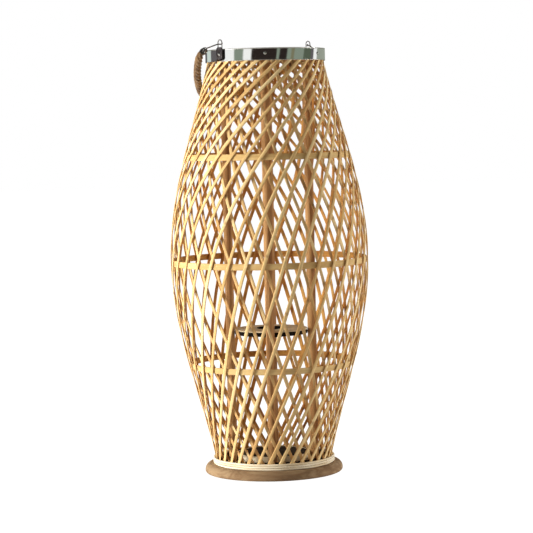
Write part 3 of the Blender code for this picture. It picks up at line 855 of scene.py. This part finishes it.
def screw_mesh(length):
    """A countersunk wood screw, pointing down from the origin, with a cross recess in its head."""
    profile = [(0, 0), (SCREW_HEAD_RADIUS - 0.0001, 0), (SCREW_HEAD_RADIUS, -0.0002)]
    profile += [(SCREW_SHANK_RADIUS, -0.0022), (SCREW_SHANK_RADIUS, -length + 0.003), (0, -length)]
    mesh = turned_mesh("screw", profile, 24)
    bm = bmesh.new()
    for turn in (0, math.pi / 2):
        made = bmesh.ops.create_cube(bm, size=1)["verts"]
        bmesh.ops.scale(bm, vec=(0.0034, 0.0008, 0.0028), verts=made)
        bmesh.ops.rotate(bm, cent=(0, 0, 0), matrix=Matrix.Rotation(turn, 3, "Z"), verts=made)
    return cut_mesh(mesh, finished(bm, "recess"))


def cut_mesh(mesh, cutter_mesh):
    """The mesh less the cutter, as a new mesh."""
    body = bpy.data.objects.new("cut_body", mesh)
    cutter = bpy.data.objects.new("cutter", cutter_mesh)
    for obj in (body, cutter):
        bpy.context.scene.collection.objects.link(obj)
    modifier = body.modifiers.new("Cut", "BOOLEAN")
    modifier.operation = "DIFFERENCE"
    modifier.use_self = True
    modifier.object = cutter
    bpy.context.view_layer.update()
    graph = bpy.context.evaluated_depsgraph_get()
    result = bpy.data.meshes.new_from_object(body.evaluated_get(graph))
    bpy.data.objects.remove(body, do_unlink=True)
    bpy.data.objects.remove(cutter, do_unlink=True)
    return result


def node_centre(node):
    """Middle of a CAD node's box, and its azimuth."""
    low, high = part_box(node)
    centre = (low + high) / 2
    return centre, math.atan2(centre.x, -centre.y)


def node_reach(node):
    """Least and greatest distance of a CAD node's points from the Z axis."""
    points = np.array([point.co for point in frame["nodes"][node].data.vertices])
    reach = np.hypot(points[:, 0], points[:, 1])
    return float(reach.min()), float(reach.max())


def standing_at(distance, azimuth, z):
    """Moves a mesh out from the Z axis, its -Y side facing away from it."""
    return Matrix.Translation(polar(distance, azimuth, z)) @ Matrix.Rotation(azimuth, 4, "Z")


def level_at(distance, azimuth, z):
    """The same for a mesh whose top faces away from the axis."""
    return standing_at(distance, azimuth, z) @ Matrix.Rotation(math.pi / 2, 4, "X")


def screw_matrix(part, node):
    """Where a screw goes: up through the base, down through the top ring, or into the shelf."""
    low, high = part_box(node)
    centre, azimuth = node_centre(node)
    if part == "base":
        return Matrix.Translation((centre.x, centre.y, low.z)) @ Matrix.Rotation(math.pi, 4, "X")
    if part == "top":
        return Matrix.Translation((centre.x, centre.y, high.z))
    _, reach = node_reach(node)
    return level_at(math.sqrt(reach**2 - SCREW_HEAD_RADIUS**2), azimuth, centre.z)


def make_screws():
    """Three screws to each post."""
    upright = screw_mesh(0.028)
    level = screw_mesh(0.022)
    for side in POST_SIDES:
        for part, screw in (("base", upright), ("top", upright), ("shelf", level)):
            node = f"{part}_screw_{side}"
            mesh = screw.copy()
            mesh.transform(screw_matrix(part, node))
            add_piece(f"{node}_steel", mesh, SCREW_STEEL, BODY, [node])


# The rim band and the ears.


def make_band():
    """Polished sheet with a rolled bead along its top edge and a slight lip along the other."""
    outer, bottom, top = node_ring("rim_band")
    bead = 0.0005
    face = outer - 0.0002
    back = outer - 0.0008 - 0.0002
    neck = top - 0.0016
    profile = []
    for angle in np.linspace(math.pi, -math.pi / 2 * 0.6, 9):
        profile.append((outer - bead + bead * math.cos(angle), top - bead + bead * math.sin(angle)))
    profile += [(face, neck), (face, bottom + 0.0010), (outer, bottom + 0.0004), (face, bottom)]
    profile += [(back, bottom + 0.0002), (back, neck)]
    mesh = turned_mesh("rim_band", profile, 240, closed=True)
    add_piece("rim_band_polished", mesh, POLISHED, BODY, ["rim_band"], sharp=60)


def make_rivets():
    """Low domed heads on the band and on the ear plates, each with its shank."""
    dome = []
    for angle in np.linspace(0, math.pi / 2, 7):
        dome.append((RIVET_HEAD_RADIUS * math.sin(angle), RIVET_HEAD_HEIGHT * math.cos(angle)))
    for node in RIVETS:
        centre, azimuth = node_centre(node)
        nearest, farthest = node_reach(node)
        seat = farthest - RIVET_HEAD_HEIGHT
        end = nearest - seat
        shank = [(RIVET_SHANK_RADIUS, 0), (RIVET_SHANK_RADIUS, end), (0, end)]
        mesh = turned_mesh(node, [*dome, *shank], 24)
        mesh.transform(level_at(seat, azimuth, centre.z))
        add_piece(f"{node}_domed", mesh, POLISHED, BODY, [node])


def rounded_plate(name, width, height, thickness, corner):
    """A plate in the plane of X and Z with round corners and softened edges."""
    bm = bmesh.new()
    outline = []
    for corner_x, corner_z, start in ((1, 1, 0), (-1, 1, 90), (-1, -1, 180), (1, -1, 270)):
        for degrees in range(start, start + 91, 15):
            angle = math.radians(degrees)
            x = corner_x * (width / 2 - corner) + corner * math.cos(angle)
            z = corner_z * (height / 2 - corner) + corner * math.sin(angle)
            outline.append(bm.verts.new((x, thickness / 2, z)))
    face = bm.faces.new(outline)
    made = bmesh.ops.extrude_face_region(bm, geom=[face])
    front = [item for item in made["geom"] if isinstance(item, bmesh.types.BMVert)]
    bmesh.ops.translate(bm, vec=(0, -thickness, 0), verts=front)
    bmesh.ops.recalc_face_normals(bm, faces=bm.faces)
    edges = [edge for edge in bm.edges if len({vert.co.y > 0 for vert in edge.verts}) == 1]
    bmesh.ops.bevel(bm, geom=edges, offset=thickness * 0.25, segments=2, affect="EDGES")
    return finished(bm, name)


def eye_path(bottom, top):
    """A wire staple, open downwards, in the plane of X and Z."""
    half = EYE_HALF_WIDTH
    arch_z = top - EYE_WIRE - half
    path = [(half, 0, z) for z in np.linspace(bottom, arch_z, 6)[:-1]]
    for angle in np.linspace(0, math.pi, 17):
        path.append((half * math.cos(angle), 0, arch_z + half * math.sin(angle)))
    path += [(-half, 0, z) for z in np.linspace(arch_z, bottom, 6)[1:]]
    return path


def wire_mesh(name, path, radius, first_normal, sides=12):
    """A round wire along a path."""
    across, out = frames_along(path, first_normal)
    mesh, _, _ = sweep(name, path, across, out, round_section(radius, sides))
    return mesh


def make_ear(side):
    """A small pressed plate with a wire staple, the eye, behind it."""
    node = f"ear_plate_{side}"
    low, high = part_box(node)
    centre, azimuth = node_centre(node)
    mesh = rounded_plate(node, EAR_PLATE_WIDTH, high.z - low.z, EAR_PLATE_THICKNESS, EAR_PLATE_CORNER)
    mesh.transform(standing_at(centre.to_2d().length, azimuth, centre.z))
    add_piece(f"{node}_pressed", mesh, EAR_STEEL, BODY, [node])

    node = f"ear_eye_{side}"
    low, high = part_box(node)
    mesh = wire_mesh(node, eye_path(low.z, high.z), EYE_WIRE, (0, -1, 0))
    mesh.transform(standing_at(((low + high) / 2).to_2d().length, azimuth, 0))
    add_piece(f"{node}_wire", mesh, WIRE, BODY, [node])


# The rope handle.


def handle_matrix():
    """From the handle's plane, (u, v, w), to the row frame."""
    joint = next(joint for joint in frame["joints"] if joint["name"] == "handle_swing")
    along_axis = -Vector(joint["axis"]).normalized()
    level = Vector((0, 0, 1)).cross(along_axis)
    if level.x > 0:
        level = -level
    across = math.cos(HANDLE_DROP) * level - math.sin(HANDLE_DROP) * Vector((0, 0, 1))
    turn = Matrix((along_axis, across, along_axis.cross(across))).transposed().to_4x4()
    return Matrix.Translation(joint["pos_m"]) @ turn


def handle_route():
    """Points from the left ferrule's outer end round to the right one's."""
    half = [(u, v, 0) for u, v in HANDLE_HALF_ROUTE]
    other_half = [(-u, v, 0) for u, v in reversed(HANDLE_HALF_ROUTE)]
    return [*half, (0, HANDLE_REACH, 0), *other_half]


def strand_mesh(path, even, number):
    """One of the rope's strands: a helix round the path, itself laid of yarns, slimmer at its ends."""
    from_end = np.minimum(even, even[-1] - even)
    slim = ROPE_END_SHARE + (1 - ROPE_END_SHARE) * np.clip(from_end / ROPE_TAPER, 0, 1) ** 0.7
    across, out = frames_along(path, (0, 0, 1))
    turn = number * 2 * math.pi / STRANDS + 2 * math.pi * even / STRAND_LAY
    spoke = across * np.cos(turn)[:, None] + out * np.sin(turn)[:, None]
    centre = path + (STRAND_OFFSET * slim)[:, None] * spoke
    side, up = frames_along(centre, spoke[0])
    angles = np.arange(STRAND_SIDES) * 2 * math.pi / STRAND_SIDES
    twist = angles[None] * YARNS - 2 * math.pi * even[:, None] / YARN_LAY
    relief = 0.5 + 0.5 * np.cos(twist)
    radius = STRAND_RADIUS - YARN_GROOVE * (1 - relief) ** 1.4
    section = np.stack([radius * np.cos(angles), radius * np.sin(angles)], axis=2) * slim[:, None, None]
    mesh, _, along = sweep("strand", centre, side, up, section)
    store_course(mesh, angles[None] * STRAND_RADIUS - along[:, None] * 0.35, along, number)
    # How deep each point lies between the yarns, which the rope material darkens as painted shade.
    store(mesh, "groove", "FLOAT", (1 - relief) ** 2)
    return mesh


def make_fibres(path):
    """Loose jute fibres that stand off the rope, each one curved and running out to a point."""
    across, out = frames_along(path, (0, 0, 1))
    tangents = np.cross(out, across)
    share = np.linspace(0, 1, 6)[:, None]
    hairs = []
    for _ in range(FIBRE_COUNT):
        spot = RANDOM.randint(4, len(path) - 4)
        angle = RANDOM.uniform(0, 2 * math.pi)
        spoke = across[spot] * math.cos(angle) + out[spot] * math.sin(angle)
        around = -across[spot] * math.sin(angle) + out[spot] * math.cos(angle)
        root = path[spot] + spoke * (ROPE_RADIUS - FIBRE_ROOT_DEPTH)
        length = RANDOM.uniform(0.003, 0.008)
        lift = RANDOM.uniform(0.08, 0.32)
        swerve = RANDOM.uniform(-0.8, 0.8)
        heading = RANDOM.choice([-1, 1])
        hair = root + length * share * heading * tangents[spot]
        hair = hair + length * (lift * share**1.5 * spoke + swerve * share**2 * around * 0.5)
        side, up = frames_along(hair, spoke)
        section = round_section(FIBRE_RADIUS, 3)[None] * (1.05 - share[:, :, None])
        mesh, _, _ = sweep("fibre", hair, side, up, section)
        store(mesh, "lath", "FLOAT_VECTOR", np.tile([0.0, 0.0, 1.0], (len(mesh.vertices), 1)))
        store(mesh, "groove", "FLOAT", np.zeros(len(mesh.vertices)))
        hairs.append(mesh)
    return hairs


def make_rope(matrix):
    """The laid rope between the two ferrules, and its loose fibres."""
    path, even = smooth_path(handle_route(), 330, trim=FERRULE_LENGTH)
    strands = [strand_mesh(path, even, number) for number in range(STRANDS)]
    mesh = join_meshes("handle_rope", strands)
    mesh.transform(matrix)
    add_piece("handle_rope_laid", mesh, ROPE, HANDLE, ["handle_rope"], sharp=80)
    fibres = join_meshes("rope_fibres", make_fibres(path))
    fibres.transform(matrix)
    add_piece("handle_rope_fibres", fibres, ROPE, HANDLE, (), sharp=80)


def make_core(matrix):
    """The steel wire: a curl inside the eye, the hook through it, and the run into the rope."""
    route = handle_route()
    hook = [
        (CURL_U, CURL_V, 0),
        (CURL_U, -HOOK_BEND, 0),
        (CURL_U + 0.35 * HOOK_BEND, -0.35 * HOOK_BEND, 0),
        (CURL_U + HOOK_BEND, 0, 0),
        (EYE_U + 0.0030, 0, 0),
        (EYE_U + 0.0058, 0.0009, 0),
        (route[0][0] - 0.0012, route[0][1] - 0.0026, 0),
    ]
    mirrored = [(-u, v, w) for u, v, w in reversed(hook)]
    path, _ = smooth_path([*hook, *route, *mirrored], ROUTE_STEPS)
    mesh = wire_mesh("handle_core", path, CORE_RADIUS, (0, 0, 1))
    mesh.transform(matrix)
    add_piece("handle_core_wire", mesh, WIRE, HANDLE, ["handle_core"])


def make_ferrule(side, sign, matrix):
    """Dark wire wound untidily round the core where the rope ends."""
    node = f"ferrule_{side}"
    route, _ = smooth_path(handle_route(), ROUTE_STEPS)
    start = Vector(route[0]) * Vector((sign, 1, 0))
    end = Vector(route[COIL_STEPS]) * Vector((sign, 1, 0))
    share = np.linspace(0, 1, COIL_TURNS * 16)
    line = np.array(start)[None] + share[:, None] * np.array(end - start)[None]
    axis = np.array((end - start).normalized())
    first = np.cross(axis, [0, 0, 1])
    second = np.array([0.0, 0.0, 1.0])
    angle = share * COIL_TURNS * 2 * math.pi
    radius = COIL_START_RADIUS + COIL_GROWTH * np.clip(share / 0.45, 0, 1) ** 0.6
    radius = radius * (1 + COIL_WAVER * np.sin(1.7 * angle))
    line = line + COIL_SHIFT * np.sin(2.6 * angle)[:, None] * axis[None]
    path = line + radius[:, None] * (np.cos(angle)[:, None] * first + np.sin(angle)[:, None] * second)
    mesh = wire_mesh(node, path, COIL_WIRE_RADIUS, first, sides=8)
    mesh.transform(matrix)
    add_piece(f"{node}_coil", mesh, WIRE, HANDLE, [node])


def make_handle():
    """The bail: rope, wire core and the wound wire at both ends of the rope."""
    matrix = handle_matrix()
    make_rope(matrix)
    make_core(matrix)
    make_ferrule("left", 1, matrix)
    make_ferrule("right", -1, matrix)


# Light, floor and camera.


def make_world():
    """White to the camera, a dim warm sky as light, and a banded studio in mirror reflections."""
    world = bpy.data.worlds.new("studio")
    bpy.context.scene.world = world
    world.use_nodes = True
    tree = world.node_tree
    tree.nodes.clear()
    output = tree.nodes.new("ShaderNodeOutputWorld")
    rays = tree.nodes.new("ShaderNodeLightPath").outputs
    direction = tree.nodes.new("ShaderNodeTexCoord").outputs["Generated"]
    parts = tree.nodes.new("ShaderNodeSeparateXYZ")
    tree.links.new(direction, parts.inputs[0])
    x, y, z = parts.outputs
    azimuth = calculate(tree, "ARCTAN2", x, calculate(tree, "MULTIPLY", y, -1.0))
    lean = calculate(tree, "MULTIPLY_ADD", z, 0.15, azimuth)
    share = rescale(tree, lean, -math.pi, math.pi)
    studio = ramp(tree, share, studio_bands())
    overhead = rescale(tree, z, 0.30, 0.60)
    studio = mix(tree, overhead, studio, srgb(96, 98, 92))
    height = rescale(tree, z, 0.05, 0.85)
    ambient = mix(tree, height, (0.33, 0.29, 0.235, 1), (0.16, 0.14, 0.11, 1))
    soft = mix(tree, rays["Is Glossy Ray"], ambient, studio)
    seen = mix(tree, rays["Is Camera Ray"], soft, (1, 1, 1, 1))
    background = tree.nodes.new("ShaderNodeBackground")
    tree.links.new(seen, background.inputs["Color"])
    tree.links.new(background.outputs[0], output.inputs[0])


def studio_bands():
    """Stops of the studio's colours by azimuth, from edges in degrees with a short blend at each."""
    white, mist, grey_green = (1.05, 1.05, 1.05, 1), srgb(214, 226, 220), srgb(138, 150, 136)
    black, dull, olive = srgb(46, 38, 36), srgb(104, 100, 102), srgb(128, 126, 100)
    moss, pale = srgb(90, 100, 84), srgb(160, 166, 154)
    bands = [(-180, dull), (-150, mist), (-128, dull), (-95, white), (-61, grey_green), (-41, white)]
    bands += [(-25, black), (24, grey_green), (30, black), (45, grey_green), (53, olive), (60, grey_green)]
    bands += [(81, moss), (101, dull), (109, white), (120, pale)]
    blend = 0.8
    stops = [(0.0, dull)]
    for (_, colour_before), (edge, colour) in zip(bands, bands[1:]):
        stops.append(((edge - blend + 180) / 360, colour_before))
        stops.append(((edge + blend + 180) / 360, colour))
    return stops


def area_light(name, spot, aim, size, power, colour):
    """A panel of light that mirror reflections don't show."""
    light = bpy.data.lights.new(name, "AREA")
    light.shape = "RECTANGLE"
    light.size, light.size_y = size
    light.energy = power
    light.color = colour
    lamp = bpy.data.objects.new(name, light)
    bpy.context.scene.collection.objects.link(lamp)
    lamp.location = spot
    lamp.rotation_euler = (Vector(aim) - Vector(spot)).to_track_quat("-Z", "Y").to_euler()
    lamp.visible_glossy = False


def make_lights():
    """A strong key on the left, a fill on the right and a little light from behind."""
    area_light("key", (-2.8, -0.80, 0.38), (0, 0, 0.33), (0.8, 1.2), power=184, colour=(1.0, 0.98, 0.93))
    area_light("fill", (2.6, 0.35, 0.25), (0, 0, 0.20), (1.4, 0.44), power=52, colour=(1.0, 0.98, 0.97))
    area_light("back", (0.6, 2.4, 1.6), (0, 0, 0.35), (1.4, 1.0), power=14, colour=(1.0, 0.98, 0.95))


def make_floor():
    """A plain pale floor, shown nearly without shadow."""
    bm = bmesh.new()
    bmesh.ops.create_grid(bm, x_segments=1, y_segments=1, size=FLOOR_HALF_WIDTH)
    mesh = finished(bm, "floor")
    material, tree, shader = new_material("floor", roughness=0.9)
    shader.inputs["Base Color"].default_value = (0.82, 0.81, 0.79, 1)
    glow = tree.nodes.new("ShaderNodeEmission")
    mixer = tree.nodes.new("ShaderNodeMixShader")
    rays = tree.nodes.new("ShaderNodeLightPath").outputs
    tree.links.new(calculate(tree, "MULTIPLY", rays["Is Camera Ray"], 0.80), mixer.inputs[0])
    tree.links.new(shader.outputs[0], mixer.inputs[1])
    tree.links.new(glow.outputs[0], mixer.inputs[2])
    glow.inputs["Strength"].default_value = 1.25
    tree.links.new(mixer.outputs[0], tree.nodes["Material Output"].inputs[0])
    mesh.materials.append(material)
    floor = bpy.data.objects.new("floor", mesh)
    floor.location.z = cad_bounds[0][2] - FLOOR_DROP
    bpy.context.scene.collection.objects.link(floor)


def make_camera():
    """A long lens a little below the lantern's rim, looking slightly down and rolled a little."""
    forward = Vector((0, math.cos(CAMERA_PITCH), -math.sin(CAMERA_PITCH)))
    up = Vector((0, math.sin(CAMERA_PITCH), math.cos(CAMERA_PITCH)))
    right = Vector((1, 0, 0))
    rolled_right = math.cos(CAMERA_ROLL) * right - math.sin(CAMERA_ROLL) * up
    rolled_up = math.sin(CAMERA_ROLL) * right + math.cos(CAMERA_ROLL) * up
    turn = Matrix((rolled_right, rolled_up, -forward)).transposed()
    camera = bpy.data.cameras.new("camera")
    camera.sensor_width = 36
    camera.lens = CAMERA_LENS
    camera.clip_start = 0.05
    viewer = bpy.data.objects.new("camera", camera)
    bpy.context.scene.collection.objects.link(viewer)
    turn = Matrix.Rotation(CAMERA_YAW, 3, "Z") @ turn
    viewer.matrix_world = Matrix.Translation(CAMERA_SPOT) @ turn.to_4x4()
    bpy.context.scene.camera = viewer
    bpy.context.scene.view_settings.view_transform = "Standard"


make_camera()
make_laths("outer", 1, 0.0, BAMBOO_OUTER)
make_laths("inner", -1, INNER_LAYER_INSET, BAMBOO_INNER_SHADED)
for hoop in HOOP_LAP_AZIMUTH:
    make_hoop(hoop)
for reed in REED_JOINT_AZIMUTH:
    make_reed(reed, REED_JOINT_AZIMUTH[reed])
make_base()
# The clamp ring is black as painted shade: it stands for the dark gap seen above the reeds.
make_ring("base_clamp_ring", "base_clamp_ring_painted_shade", CLAMP_RING_INNER, BLACK, 0.0012)
make_ring("top_ring", "top_ring_turned", TOP_RING_INNER, RING_WOOD, 0.0020)
make_shelf()
make_floor_plate()
make_cup()
make_posts()
make_screws()
make_band()
make_rivets()
for side in ("left", "right"):
    make_ear(side)
make_handle()
make_world()
make_lights()
make_floor()
